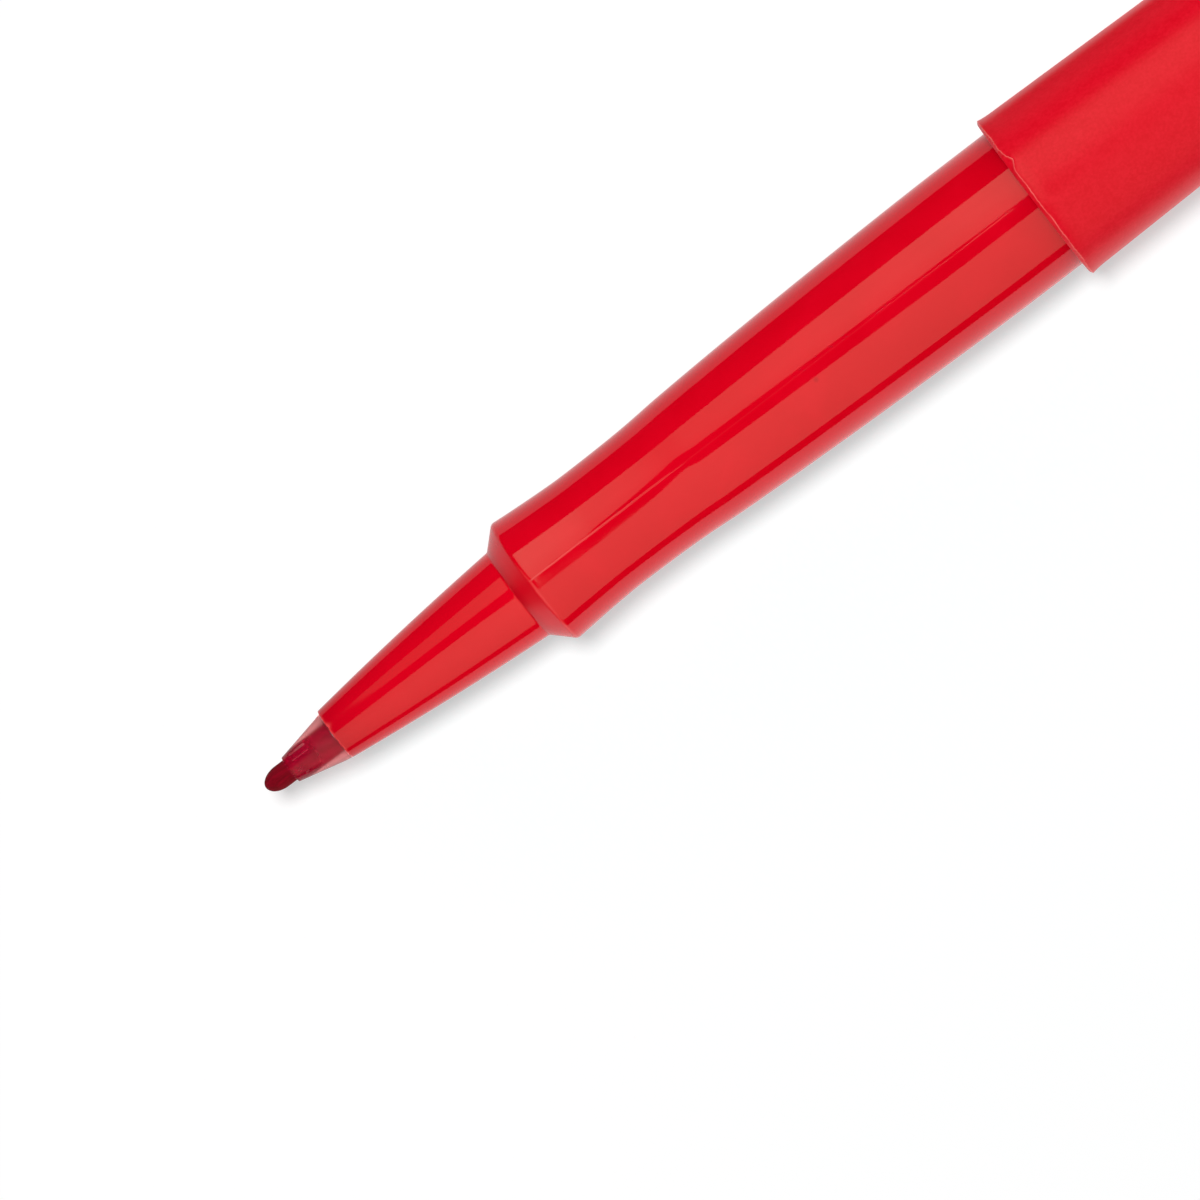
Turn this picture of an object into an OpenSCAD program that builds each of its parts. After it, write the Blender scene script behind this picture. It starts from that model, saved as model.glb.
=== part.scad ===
// Felt tip marker: a glossy waisted front section pressed into a matte tapered barrel,
// with the cap posted on the barrel's tail. The marker lies along X on the plane z = 0,
// with its nib at -X. Every piece is drawn on its own axis, measured from the nib's tip,
// and then laid down.

/* [Nib] */
// Diameter of the fibre nib
nib_d = 1.5; // [1.2:0.1:1.6]
// Length of the nib's rounded end
nib_round = 1.3; // [0.8:0.1:1.8]
// Length of nib that shows ahead of the guard
nib_show = 2.05; // [1.9:0.05:2.6]
// Depth of the nib's rear end in the reservoir
nib_bite = 9; // [6:1:14]

/* [Point guard] */
// Diameter of the guard's front rim
guard_front_d = 1.84; // [1.8:0.02:2.2]
// Diameter of the guard's cone where it meets the nose
guard_base_d = 3.54; // [3.4:0.02:3.7]
// Length of the guard's cone
guard_len = 3.85; // [3:0.05:5]
// Diameter of the guard's shank in the nose
guard_shank_d = 3.2; // [2.8:0.05:3.3]
// Length of the guard's shank
guard_shank_len = 10; // [8:0.5:12]
// Number of air flutes along the shank
guard_flutes = 3; // [2:1:5]

/* [Front section] */
// Diameter of the nose's front rim
nose_tip_d = 3.82; // [3.8:0.02:4.2]
// Diameter of the nose where it meets the shoulder
nose_base_d = 6.8; // [6.4:0.1:7]
// Length of the nose
nose_len = 15.2; // [14.8:0.1:16]
// Outward bow of the nose's side
nose_bow = 0.11; // [0:0.01:0.3]
// Diameter at the shoulder's outer edge
shoulder_d = 9.46; // [9.3:0.02:9.5]
// Length of the sloped shoulder
shoulder_len = 1.3; // [1:0.1:1.6]
// Diameter of the finger waist
waist_d = 8.82; // [8.6:0.02:9]
// Distance of the waist behind the shoulder
waist_at = 5.5; // [4.5:0.1:6.5]
// Diameter of the grip where it swells again
swell_d = 9.3; // [9.2:0.02:9.5]
// Distance of the swell behind the shoulder
swell_at = 12.8; // [11:0.1:14]
// Diameter of the cylindrical land that takes the cap's mouth
land_d = 10.68; // [10.5:0.02:10.7]
// Distance of the land behind the shoulder
land_at = 36.9; // [36:0.1:38]
// Length of the land in front of the barrel
land_len = 4.5; // [4:0.1:5]
// Diameter of the tenon inside the barrel
tenon_d = 10.3; // [10.1:0.02:10.4]
// Length of the tenon
tenon_len = 11; // [8:0.5:14]

/* [Barrel] */
// Diameter of the lip at the barrel's mouth
lip_d = 12.56; // [12.5:0.02:12.9]
// Diameter of the barrel at its mouth, without the lip
mouth_d = 12.4; // [12.3:0.02:12.5]
// Diameter of the barrel at its tail
tail_d = 9.6; // [9.4:0.1:9.8]
// Length of the barrel
barrel_len = 69.7; // [66:0.1:74]
// Wall of the barrel behind the tenon
barrel_wall = 1; // [0.8:0.05:1.2]
// Number of ribs that centre the reservoir
barrel_ribs = 4; // [3:1:6]

/* [Reservoir] */
// Diameter of the wrapped reservoir
reservoir_d = 6.9; // [6.5:0.1:7]
// Thickness of the wrapping film
film = 0.15; // [0.1:0.05:0.3]

/* [Cap] */
// Length of the cap
cap_len = 66; // [65.6:0.1:69]
// Diameter of the cap at its crown
crown_d = 10.5; // [10.4:0.1:11]
// Bore of the cap's mouth
cap_bore_d = 10.84; // [10.8:0.02:10.9]
// Length of the parallel stretch inside the cap's mouth
cap_grip = 7; // [5:0.5:9]
// Outside diameter of the sealing liner in the cap
liner_d = 9; // [8.8:0.05:9.1]
// Wall of the sealing liner
liner_wall = 0.6; // [0.5:0.05:0.7]

/* [Clip] */
// Length of the clip
clip_len = 44; // [36:1:48]
// Width of the clip at its root
clip_w = 4; // [3.6:0.1:4.6]
// Width of the clip at its free end
clip_end_w = 3.2; // [3:0.1:3.6]
// Thickness of the clip at its root
clip_thick = 1.25; // [1.1:0.05:1.4]
// Thickness of the clip at its free end
clip_end_thick = 1.05; // [0.9:0.05:1.2]
// Height of the clip's outer face above the cap's axis
clip_rise = 7.9; // [7.8:0.05:8.2]

/* [Hidden] */
$fn = 96;

// Clearances: a press fit's slip, the posted cap's running gap and the clip's play
slip = 0.01;
post_gap = 0.06;
clip_play = 0.2;
clip_seat_gap = 0.05;
clip_tip_gap = 0.1;

// Stations along the axis, from the nib's tip
nose_z = nib_show + guard_len;
nose_base_z = nose_z + nose_len;
shoulder_z = nose_base_z + shoulder_len;
waist_z = shoulder_z + waist_at;
swell_z = shoulder_z + swell_at;
land_z = shoulder_z + land_at;
mouth_z = land_z + land_len;
tenon_z = mouth_z + tenon_len;
tail_z = mouth_z + barrel_len;

// Front section: slopes of the grip, rounding of its shoulder and pull of its curves
shoulder_fall = 0.09;
swell_climb = 0.052;
shoulder_soft = 0.2;
shoulder_pull = 0.25;
waist_pull_front = 0.2;
waist_pull_back = 0.68;
swell_pull_front = 0.21;
swell_pull_back = 0.4;
land_pull = 0.08;

// Front section: its hollow, from the nose's bore back to the tenon's mouth
nose_bore_r = guard_shank_d / 2 + slip;
bore_end_z = nose_z + 7.1;
throat_r = 2.4;
throat_z = nose_base_z - 0.1;
chamber_r = 3.55;
chamber_z = throat_z + 8;
chamber_mouth_r = 4.2;
tenon_soft = 0.5;

// Point guard: its bore, shank end and flutes
guard_bore_r = nib_d / 2 + slip;
guard_end_z = nose_z + guard_shank_len;
guard_end_soft = 0.3;
flute_r = 0.28;

// Barrel: lip, hollow, tail and ribs
lip_len = 0.3;
lip_fade = 1.5;
lip_soft = 0.1;
tail_soft = 1.3;
tail_floor = 2.2;
barrel_step_z = tenon_z + 0.5;
barrel_floor_z = tail_z - tail_floor;
rib_thick = 0.7;
rib_sink = 0.4;
rib_gap = 0.1;

// Reservoir: seated against the throat in front and the crossed ribs behind
reservoir_r = reservoir_d / 2;
core_r = reservoir_r - film - slip;
reservoir_z = chamber_z - 0.6;
reservoir_end_z = tail_z - 8.5;
nib_end_z = reservoir_z + nib_bite;
nib_end_soft = 0.4;

// Cap: stations from its mouth
posted_z = mouth_z + barrel_len * (mouth_d - cap_bore_d + 2 * post_gap) / (mouth_d - tail_d);
total_len = posted_z + cap_len;
crown_wall = 1.15;
crown_soft = 1.4;
cap_mouth_soft = 0.15;
liner_mouth = mouth_z - nose_base_z - 0.45;
liner_ledge = liner_mouth - 0.25;
liner_ledge_r = 4.8;
liner_end = cap_len - crown_wall - slip;
liner_end_r = liner_d / 2 - liner_wall - 0.35;
snap_at = mouth_z - shoulder_z - 2.6;
snap_half = 0.7;
snap_r = shoulder_d / 2 - 0.11;

// Clip: its root, its tab in the cap's bracket and its gripping bump
clip_root = cap_len - 1.2;
clip_edge = 0.4;
clip_under = clip_rise - clip_thick;
bracket_w = 3.4;
bracket_len = 7.2;
bracket_slope = 1.1;
bracket_sink = 4.9;
tab_len = 2.8;
tab_w = 2.4;
tab_low = 5.75;
tab_back = 1.4;
bump_ball = 1.5;
bump_back = 4.5;

// Half width that the marker rests on, and the turn that lays the clip's edge on the floor too
rest_r = lip_d / 2;
clip_turn = atan2(clip_w / 2 - clip_edge, clip_rise - clip_edge)
    + acos((rest_r - clip_edge) / norm([clip_w / 2 - clip_edge, clip_rise - clip_edge]));

// Points of a cubic curve from a to d, drawn towards b and c
function cubic(a, b, c, d, steps) =
    [for (i = [0:steps])
        let (t = i / steps, u = 1 - t) u*u*u*a + 3*u*u*t*b + 3*u*t*t*c + t*t*t*d];

// Points of a blend from a to c that rounds off the corner b
function blend(a, b, c, steps) =
    [for (i = [0:steps]) let (t = i / steps, u = 1 - t) u*u*a + 2*u*t*b + t*t*c];

// Points of a side from a to b that bows out by bow at its middle
function bowed(a, b, bow, steps) =
    [for (i = [0:steps]) let (t = i / steps) a + t*(b - a) + [4*bow*t*(1 - t), 0]];

// Points of a round edge about centre, between two angles
function edge(centre, r, from, to, steps) =
    [for (i = [0:steps]) let (a = from + (to - from)*i/steps) centre + r*[cos(a), sin(a)]];

function unit(v) = v / norm(v);

// Radius at height z of a side that runs straight from [r0, z0] to [r1, z1]
function side_r(z, a, b) = a[0] + (b[0] - a[0]) * (z - a[1]) / (b[1] - a[1]);

function barrel_r(z) = side_r(z, [mouth_d / 2, mouth_z], [tail_d / 2, tail_z]);
function hollow_r(z) = barrel_r(z) - barrel_wall;
function cap_r(z) = side_r(z, [mouth_d / 2, 0], [crown_d / 2, cap_len]);

// Outline of a mouth's lip that fades into a tapered side; z0 is the mouth, body_r the side there
function lip(z0, body_r) =
    concat([[rest_r - lip_soft, z0], [rest_r, z0 + lip_soft]],
           blend([rest_r, z0 + lip_len], [body_r, z0 + lip_len], [body_r, z0 + lip_fade], 5));

module turned(outline) rotate_extrude() polygon(outline);

// Lays a piece that stands on the nib's tip down along X
module laid()
    translate([-total_len / 2, 0, rest_r])
        rotate([0, 90, 0])
            children();

// Puts a piece drawn from the cap's mouth, clip side at +X, on the posted cap
module posted()
    laid()
        translate([0, 0, posted_z])
            rotate([0, 0, -clip_turn])
                children();

module nib() color([0.42, 0.03, 0.08]) laid() {
    r = nib_d / 2;
    round_end = [for (a = [0:10:90]) [r * sin(a), nib_round * (1 - cos(a))]];
    turned(concat(round_end,
                  [[r, nib_end_z - nib_end_soft],
                   [r - nib_end_soft, nib_end_z],
                   [0, nib_end_z]]));
}

module point_guard() color([0.78, 0.36, 0.38]) laid() {
    shank_r = guard_shank_d / 2;
    difference() {
        turned([[guard_bore_r, nib_show],
                [guard_front_d / 2, nib_show],
                [guard_base_d / 2, nose_z],
                [shank_r, nose_z],
                [shank_r, guard_end_z - guard_end_soft],
                [shank_r - guard_end_soft, guard_end_z],
                [guard_bore_r, guard_end_z]]);
        for (i = [0:guard_flutes - 1])
            rotate([0, 0, 360 * i / guard_flutes])
                translate([shank_r, 0, nose_z - flute_r])
                    cylinder(r = flute_r, h = guard_shank_len + 2 * flute_r);
    }
}

module front_section() color([0.8, 0.01, 0.1]) laid() {
    nose_base = [nose_base_d / 2, nose_base_z];
    shoulder = [shoulder_d / 2, shoulder_z];
    waist = [waist_d / 2, waist_z];
    swell = [swell_d / 2, swell_z];
    land = [land_d / 2, land_z];
    fall = [-shoulder_fall, 1];
    climb = [swell_climb, 1];
    grip_start = shoulder + shoulder_soft * fall;
    slope_end = shoulder - shoulder_soft * unit(shoulder - nose_base);
    to_waist = waist_z - grip_start[1];
    to_swell = swell_z - waist_z;
    to_land = land_z - swell_z;
    nose = bowed([nose_tip_d / 2, nose_z], nose_base, nose_bow, 12);
    shoulder_edge = blend(slope_end, shoulder, grip_start, 5);
    finger_rest = cubic(grip_start,
                        grip_start + shoulder_pull * to_waist * fall,
                        waist - [0, waist_pull_front * to_waist],
                        waist, 8);
    rise = cubic(waist,
                 waist + [0, waist_pull_back * to_swell],
                 swell - swell_pull_front * to_swell * climb,
                 swell, 10);
    grip = cubic(swell,
                 swell + swell_pull_back * to_land * climb,
                 land - [0, land_pull * to_land],
                 land, 16);
    tenon = [[land_d / 2, mouth_z],
             [tenon_d / 2, mouth_z],
             [tenon_d / 2, tenon_z - tenon_soft],
             [tenon_d / 2 - tenon_soft, tenon_z]];
    hollow = [[chamber_mouth_r, tenon_z],
              [chamber_r, chamber_z],
              [throat_r, throat_z],
              [nose_bore_r, bore_end_z],
              [nose_bore_r, nose_z]];
    // Each curve starts on the last point of the one before, so that point is dropped
    turned(concat(nose, shoulder_edge,
                  [for (i = [1:8]) finger_rest[i]],
                  [for (i = [1:10]) rise[i]],
                  [for (i = [1:16]) grip[i]],
                  tenon, hollow));
}

module barrel() color([0.85, 0.1, 0.17]) laid() {
    bore_r = tenon_d / 2 + slip;
    tail_edge_z = tail_z - tail_soft;
    tail_edge_r = barrel_r(tail_edge_z);
    rib_r = reservoir_r + rib_gap;
    rib_start = barrel_step_z + 1.5;
    turned(concat([[bore_r, mouth_z]],
                  lip(mouth_z, barrel_r(mouth_z + lip_fade)),
                  edge([tail_edge_r - tail_soft, tail_edge_z], tail_soft, 0, 90, 6),
                  [[0, tail_z],
                   [0, barrel_floor_z],
                   [hollow_r(barrel_floor_z), barrel_floor_z],
                   [hollow_r(barrel_step_z), barrel_step_z],
                   [bore_r, barrel_step_z]]));
    // Ribs that centre the reservoir and cross behind it as its stop
    for (i = [0:barrel_ribs - 1])
        rotate([90, 0, 360 * (i + 0.5) / barrel_ribs])
            linear_extrude(rib_thick, center = true)
                polygon([[rib_r, rib_start],
                         [hollow_r(rib_start) + rib_sink, rib_start],
                         [hollow_r(barrel_floor_z) + rib_sink, barrel_floor_z + rib_sink],
                         [0, barrel_floor_z + rib_sink],
                         [0, reservoir_end_z + rib_gap],
                         [rib_r, reservoir_end_z + rib_gap]]);
}

module reservoir_core() color([0.6, 0.05, 0.12]) laid() {
    socket_r = nib_d / 2 + slip;
    socket_z = nib_end_z + slip;
    turned([[socket_r, reservoir_z],
            [core_r, reservoir_z],
            [core_r, reservoir_end_z],
            [0, reservoir_end_z],
            [0, socket_z],
            [socket_r, socket_z]]);
}

module reservoir_wrap() color([0.93, 0.9, 0.9]) laid()
    turned([[reservoir_r - film, reservoir_z],
            [reservoir_r, reservoir_z],
            [reservoir_r, reservoir_end_z],
            [reservoir_r - film, reservoir_end_z]]);

module cap_shell() color([0.85, 0.1, 0.17]) posted() {
    bore_r = cap_bore_d / 2;
    crown_edge = cap_len - crown_soft;
    taper_top = [bore_r, cap_grip];
    taper_end = [liner_ledge_r, liner_ledge];
    snap_low = snap_at - snap_half;
    snap_high = snap_at + snap_half;
    bracket_end = clip_root - bracket_len;
    difference() {
        union() {
            turned(concat([[bore_r, cap_mouth_soft], [bore_r + cap_mouth_soft, 0]],
                          lip(0, cap_r(lip_fade)),
                          edge([cap_r(crown_edge) - crown_soft, crown_edge], crown_soft, 0, 90, 8),
                          [[0, cap_len],
                           [0, cap_len - crown_wall],
                           [liner_d / 2 + slip, cap_len - crown_wall],
                           [liner_d / 2 + slip, liner_ledge],
                           taper_end,
                           [side_r(snap_high, taper_top, taper_end), snap_high],
                           [snap_r, snap_at],
                           [side_r(snap_low, taper_top, taper_end), snap_low],
                           taper_top]));
            // Bracket that carries the clip
            rotate([90, 0, 0])
                linear_extrude(bracket_w, center = true)
                    polygon([[bracket_sink, bracket_end],
                             [clip_under - clip_seat_gap, bracket_end + bracket_slope],
                             [clip_under - clip_seat_gap, clip_root],
                             [bracket_sink, clip_root]]);
        }
        // Pocket for the clip's tab
        translate([tab_low - clip_play, -tab_w / 2 - clip_play / 2, clip_root - tab_back - tab_len - clip_play])
            cube([clip_rise, tab_w + clip_play, tab_len + 2 * clip_play]);
    }
}

module cap_liner() color([0.9, 0.86, 0.84]) posted() {
    mouth_r = liner_d / 2 - liner_wall;
    turned([[mouth_r, liner_mouth],
            [liner_d / 2, liner_mouth],
            [liner_d / 2, liner_end],
            [0, liner_end],
            [0, liner_end - liner_wall],
            [liner_end_r, liner_end - liner_wall]]);
}

// Rounded disc of the clip's free end, its axis along X and its outer face at clip_rise
module clip_end_disc() {
    middle = clip_end_w / 2 - clip_edge;
    translate([clip_rise - clip_end_thick, 0, clip_root - clip_len + clip_end_w / 2])
        rotate([0, 90, 0])
            rotate_extrude($fn = 32)
                polygon(concat([[0, 0]],
                               edge([middle, clip_edge], clip_edge, -90, 0, 4),
                               edge([middle, clip_end_thick - clip_edge], clip_edge, 0, 90, 4),
                               [[0, clip_end_thick]]));
}

module pocket_clip() color([0.85, 0.1, 0.17]) posted() {
    bump_z = clip_root - clip_len + bump_back;
    bump_low = cap_r(bump_z) + clip_tip_gap;
    // Tapered arm from its square root to its round free end
    hull() {
        for (x = [clip_under + clip_edge, clip_rise - clip_edge])
            for (y = [-1, 1])
                translate([x, y * (clip_w / 2 - clip_edge), clip_root - clip_edge])
                    sphere(clip_edge, $fn = 24);
        clip_end_disc();
    }
    // Bump that grips the cloth, as the lower part of a ball
    intersection() {
        translate([bump_low + bump_ball, 0, bump_z])
            sphere(bump_ball);
        translate([0, -bump_ball, bump_z - bump_ball])
            cube([clip_rise - clip_end_thick / 2, 2 * bump_ball, 2 * bump_ball]);
    }
    // Tab in the bracket's pocket
    translate([tab_low, -tab_w / 2, clip_root - tab_back - tab_len])
        cube([clip_rise - clip_thick / 2 - tab_low, tab_w, tab_len]);
}

nib();
point_guard();
front_section();
barrel();
reservoir_core();
reservoir_wrap();
cap_shell();
cap_liner();
pocket_clip();
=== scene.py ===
"""Looks of a felt tip marker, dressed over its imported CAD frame.

Shapes are worked out in millimetres, measured along the marker from the nib's tip, and go
into the scene in metres, in the frame of the CAD model: the marker lies along X with its nib
at -X, and its axis is AXIS_HEIGHT above the floor. A turn of 0 is the top and grows towards +Y.
"""

import math

import bpy
import numpy as np
from mathutils import Matrix, Vector


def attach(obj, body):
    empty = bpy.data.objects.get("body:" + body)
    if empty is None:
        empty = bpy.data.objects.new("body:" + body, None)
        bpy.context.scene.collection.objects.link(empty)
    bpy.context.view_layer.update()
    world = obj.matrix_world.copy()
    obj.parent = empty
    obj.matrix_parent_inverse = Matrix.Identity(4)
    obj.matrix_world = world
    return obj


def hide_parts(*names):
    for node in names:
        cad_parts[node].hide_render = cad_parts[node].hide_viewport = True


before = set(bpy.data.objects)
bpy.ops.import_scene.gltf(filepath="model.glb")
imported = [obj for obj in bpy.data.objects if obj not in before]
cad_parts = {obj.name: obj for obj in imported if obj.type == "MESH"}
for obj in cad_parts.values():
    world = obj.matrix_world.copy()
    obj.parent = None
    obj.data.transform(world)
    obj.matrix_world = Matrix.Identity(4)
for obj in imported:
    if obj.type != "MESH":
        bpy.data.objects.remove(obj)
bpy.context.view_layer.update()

MM = 0.001
TOTAL_LEN = 171.62
AXIS_HEIGHT = 6.28

# Nib, and how it and the guard lie aside
NIB_R = 0.75
NIB_BARE_R = 0.8
NIB_ROUND = 1.3
NIB_END = 37.4
NIB_LEAN = 0.05
TIP_ASIDE = -0.025
TIP_TILT = -0.0165

# Clear guard, its fluted shank, and where its haze begins
GUARD_FRONT = 2.02
GUARD_FRONT_R = 0.98
GUARD_BASE_R = 1.81
GUARD_SHANK_R = 1.6
GUARD_END = 15.9
GUARD_BORE_R = 0.795
GUARD_SUNK = 0.03
GUARD_HAZY = 3.95
FLUTE_R = 0.28
FLUTE_TURNS = np.radians([-60.0, 60.0, 180.0])

# Front section: each place along the marker and its radius
NOSE = 5.78
NOSE_R = 1.91
NOSE_BORE_R = 1.61
NOSE_SOFT = 0.06
NOSE_BASE = 21.03
NOSE_BASE_R = 3.4
NOSE_BOW = 0.11
CREASE_SOFT = 0.09
SHOULDER = 22.4
SHOULDER_R = 4.73
SHOULDER_SOFT = 0.2
SHOULDER_FALL = 0.09
WAIST = 27.9
WAIST_R = 4.41
SWELL = 36.0
SWELL_R = 4.69
SWELL_CLIMB = 0.052
LAND = 59.3
LAND_R = 5.34
MOUTH = 63.8
BARREL_MOUTH = 63.72
TENON_R = 5.15
TENON_END = 74.8
# The outside of the nose and of the grip lies further out than these, and the hollow further in
NOSE_LEAST_R = 1.7
GRIP_LEAST_R = 4.3

# Barrel
LIP_R = 6.28
LIP_BEVEL = 0.21
LIP_EASE = 1.6
BARREL_BORE_R = 5.16
BARREL_MOUTH_R = 6.2
BARREL_TAIL_R = 4.8
TAIL = 133.5
TAIL_SOFT = 1.3
BARREL_STEP = 75.3
BARREL_FLOOR = 131.3
BARREL_WALL = 1.0

# Cap, POSTED from the nib's tip; its other places are measured from its mouth
POSTED = 105.62
CAP_LEN = 66.0
CROWN_R = 5.25
CROWN_SOFT = 1.4
CAP_BORE_R = 5.42

# Clip, with the ball under its end
CLIP_TURN = math.radians(-128.02)
CLIP_ROOT = 64.8
CLIP_ROOT_SOFT = 0.4
CLIP_LEN = 44.0
CLIP_RISE = 7.9
CLIP_THICK = 1.25
CLIP_END_THICK = 1.05
CLIP_W = 4.0
CLIP_END_W = 3.2
BUMP_AT = 25.3
BUMP_BALL = 1.5
BUMP_GAP = 0.1

# Mould seam, and one nick in the nose's rim
SEAM_Y = 0.2
SEAM_TURNS = np.radians([2.4, 177.6])
SEAM_HALF_W = 0.07
SEAM_HEIGHT = 0.021
SEAM_FADED = 0.003
SEAM_FADES = 32.5
SEAM_END = 62.4
NICK_TURN = math.radians(20.0)

# Small pit in the grip, in metres
PIT = (-0.04046, -0.00074, 0.01117)


def srgb(red, green, blue):
    """A linear colour from the 8-bit one that a picture shows."""
    share = np.array([red, green, blue]) / 255.0
    linear = np.where(share <= 0.04045, share / 12.92, ((share + 0.055) / 1.055) ** 2.4)
    return (*linear.tolist(), 1.0)


def bell(offset, width):
    """1 at no offset, falling off like a bell, to about a third at width."""
    return np.exp(-((offset / width) ** 2))


def falling(value, place, width):
    """A smooth step from 1 below place to 0 above it."""
    return 1 / (1 + np.exp((value - place) / width))


def split(points, step):
    """A line of points with each stretch cut into equal steps no longer than step."""
    points = np.asarray(points, float)
    moves = np.diff(points, axis=0)
    counts = np.maximum(1, np.ceil(np.linalg.norm(moves, axis=1) / step)).astype(int)
    firsts = np.repeat(np.cumsum(counts) - counts, counts)
    shares = (np.arange(counts.sum()) - firsts) / np.repeat(counts, counts)
    inner = np.repeat(points[:-1], counts, axis=0) + shares[:, None] * np.repeat(moves, counts, axis=0)
    return np.vstack([inner, points[-1:]])


def cubic(a, b, c, d, steps):
    """Points of a cubic curve from a to d that is drawn towards b and c."""
    t = np.linspace(0.0, 1.0, steps + 1)[:, None]
    u = 1.0 - t
    a, b, c, d = (np.asarray(p, float) for p in (a, b, c, d))
    return u**3 * a + 3 * u * u * t * b + 3 * u * t * t * c + t**3 * d


def rounded(before, corner, after, reach, steps=6):
    """A corner turned into a parabola that leaves the first side and meets the second reach away.

    A point a little outside each end keeps the shading of the two sides flat.
    """
    before, corner, after = (np.asarray(p, float) for p in (before, corner, after))
    back = (before - corner) / np.linalg.norm(before - corner)
    ahead = (after - corner) / np.linalg.norm(after - corner)
    t = np.linspace(0.0, 1.0, steps + 1)[:, None]
    curve = corner + reach * ((1 - t) ** 2 * back + t**2 * ahead)
    return np.vstack([corner + 1.3 * reach * back, curve, corner + 1.3 * reach * ahead])


def softened(corners, reaches, steps=6):
    """A line through corners given as (distance, radius) whose inner ones are rounded by their reach."""
    corners = [np.asarray(c, float) for c in corners]
    parts = [corners[0][None, :]]
    for before, corner, after, reach in zip(corners, corners[1:], corners[2:], reaches):
        parts.append(rounded(before, corner, after, reach, steps) if reach else corner[None, :])
    return np.vstack([*parts, corners[-1][None, :]])


def turn_steps(count, places=(), half_width=0.0, extra=0):
    """Evenly spread turns of a whole circle, with extra ones across each of the given places."""
    even = np.linspace(-math.pi, math.pi, count, endpoint=False)
    close = [np.linspace(p - half_width, p + half_width, extra) for p in places]
    every = np.concatenate([even, *close])
    every = (every + math.pi) % (2 * math.pi) - math.pi
    return np.unique(np.round(every, 5))


def turn_between(turn, place):
    """Signed turn from place, from minus half a circle to half a circle."""
    return (turn - place + math.pi) % (2 * math.pi) - math.pi


def on_marker(z, across, up):
    """Places in metres of points z along the marker, across towards +Y and up from its axis."""
    spread = np.broadcast_arrays(z - TOTAL_LEN / 2, across, up + AXIS_HEIGHT)
    return np.stack(spread, axis=-1) * MM


def grid_mesh(name, grid, first=None, last=None, ring=False, values=None):
    """A closed mesh over a grid of points whose columns go round and meet.

    Row i and column j join row i + 1 and column j + 1. A ring's last row meets its first, and
    otherwise first and last are the single points that close the two ends. The order of the
    corners is turned round if the volume that they enclose comes out negative.
    """
    rows, cols = grid.shape[:2]
    places = grid.reshape(-1, 3)
    index = np.arange(rows * cols).reshape(rows, cols)
    here = index if ring else index[:-1]
    below = np.roll(index, -1, axis=0) if ring else index[1:]
    sides = (here, below, np.roll(below, -1, axis=1), np.roll(here, -1, axis=1))
    quads = np.stack(sides, axis=-1).reshape(-1, 4)
    fans = []
    for pole, row, flip in ((first, index[0], False), (last, index[-1], True)):
        if pole is None:
            continue
        hub = np.full(cols, len(places))
        places = np.vstack([places, np.asarray(pole, float)[None, :]])
        rim = (row, np.roll(row, -1)) if not flip else (np.roll(row, -1), row)
        fans.append(np.stack([hub, *rim], axis=-1))
    thirds = np.vstack([quads[:, [0, 1, 2]], quads[:, [0, 2, 3]], *fans])
    a, b, c = (places[thirds[:, k]] for k in range(3))
    if np.einsum("ij,ij->i", a, np.cross(b, c)).sum() < 0:
        quads = quads[:, ::-1]
        fans = [fan[:, ::-1] for fan in fans]
    faces = quads.tolist() + [face for fan in fans for face in fan.tolist()]
    mesh = bpy.data.meshes.new(name)
    mesh.from_pydata(places.tolist(), [], faces)
    for label, amounts in (values or {}).items():
        spread = np.zeros(len(places), np.float32)
        spread[: rows * cols] = np.broadcast_to(amounts, (rows, cols)).ravel()
        mesh.attributes.new(label, "FLOAT", "POINT").data.foreach_set("value", spread)
    mesh.shade_smooth()
    mesh.update()
    return mesh


def turned(name, outline, turns, shape=None, values=None, aside=None):
    """A solid of revolution about the marker's axis.

    The outline is (distance, radius) from one end of the solid to the other, or once round a
    hollow one. Each point goes to (distance, radius x sin turn, radius x cos turn). shape may
    change distances and radii over the whole grid, and aside gives a shift towards +Y at each
    distance.
    """
    z = np.repeat(outline[:, :1], len(turns), axis=1)
    r = np.repeat(outline[:, 1:], len(turns), axis=1)
    turn = np.broadcast_to(turns, z.shape)
    if shape is not None:
        z, r = shape(z, r, turn)
    across = r * np.sin(turn)
    if aside is not None:
        across = across + aside(z)
    grid = on_marker(z, across, r * np.cos(turn))
    ring = bool(np.allclose(outline[0], outline[-1]))
    poles = {}
    if not ring and outline[0, 1] < 1e-9:
        poles["first"] = grid[0].mean(axis=0)
    if not ring and outline[-1, 1] < 1e-9:
        poles["last"] = grid[-1].mean(axis=0)
    kept = slice(1 if "first" in poles else 0, -1 if ring or "last" in poles else None)
    values = {label: amounts[kept] for label, amounts in (values or {}).items()}
    return grid_mesh(name, grid[kept], ring=ring, values=values, **poles)


def add_piece(mesh, body, material, node=None):
    """Puts a mesh in the scene as a piece that rides on a body and takes a slot's finish."""
    mesh.materials.append(material)
    piece = bpy.data.objects.new(mesh.name, mesh)
    bpy.context.scene.collection.objects.link(piece)
    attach(piece, body)
    if node:
        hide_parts(node)


def nose_line(t):
    """Points of the nose's side, which bows out by NOSE_BOW at its middle."""
    z = NOSE + t * (NOSE_BASE - NOSE)
    r = NOSE_R + t * (NOSE_BASE_R - NOSE_R) + 4 * NOSE_BOW * t * (1 - t)
    return np.stack([z, r], axis=-1)


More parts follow.
